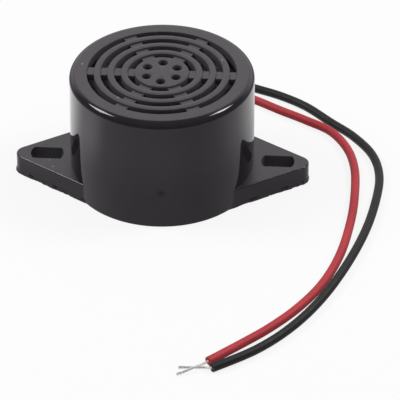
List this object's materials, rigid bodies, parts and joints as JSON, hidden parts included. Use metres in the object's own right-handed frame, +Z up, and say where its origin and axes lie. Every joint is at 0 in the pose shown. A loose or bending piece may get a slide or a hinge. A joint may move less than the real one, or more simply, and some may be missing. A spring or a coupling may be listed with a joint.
{
  "type": "piezo buzzer",
  "caption": "Round black piezo buzzer with a slotted grille face, two fixing ears with flat-sided screw holes, and a red and a black lead with bare ends.",
  "frame": {"origin": "middle of the underside, in the plane that the buzzer is fixed against", "axes": "+Z up towards the grille, +X along the two ears, +Y towards the side where the leads leave"},
  "size_m": [0.0844, 0.1137, 0.028],
  "materials": {
    "case_abs": "moulded black ABS, glossy wall and fine satin face",
    "cover_abs": "moulded black ABS, satin",
    "resonator_abs": "moulded black ABS, satin",
    "spacer_abs": "moulded natural ABS, satin",
    "brass_sheet": "rolled brass",
    "silvered_ceramic": "fired silver on ceramic",
    "board_laminate": "paper and resin laminate",
    "ferrite": "pressed ferrite, matt",
    "enamelled_copper": "enamelled copper wire",
    "moulded_epoxy": "moulded black epoxy",
    "resistor_lacquer": "tan lacquer",
    "capacitor_lacquer": "dipped lacquer",
    "solder": "bright solder",
    "red_pvc": "extruded red PVC",
    "black_pvc": "extruded black PVC",
    "blue_pvc": "extruded blue PVC",
    "hot_glue": "hot-melt glue",
    "tinned_copper": "tinned copper strands"
  },
  "bodies": {
    "root": {"case": "case_abs", "base_cover": "cover_abs", "resonator_cup": "resonator_abs", "diaphragm": "brass_sheet", "piezo_ceramic": "silvered_ceramic", "spacer_ring": "spacer_abs", "circuit_board": "board_laminate", "coil_core": "ferrite", "coil_winding": "enamelled_copper", "coil_pins": "tinned_copper", "transistor_body": "moulded_epoxy", "transistor_legs": "tinned_copper", "resistor_bodies": "resistor_lacquer", "resistor_legs": "tinned_copper", "diode_body": "moulded_epoxy", "diode_legs": "tinned_copper", "capacitor_body": "capacitor_lacquer", "capacitor_legs": "tinned_copper", "solder_joints": "solder", "diaphragm_lead": "black_pvc", "drive_lead": "red_pvc", "feedback_lead": "blue_pvc", "red_lead_inner": "red_pvc", "black_lead_inner": "black_pvc", "lead_anchor": "hot_glue", "red_lead": "red_pvc", "black_lead": "black_pvc", "red_strands": "tinned_copper", "black_strands": "tinned_copper"}
  },
  "joints": []
}
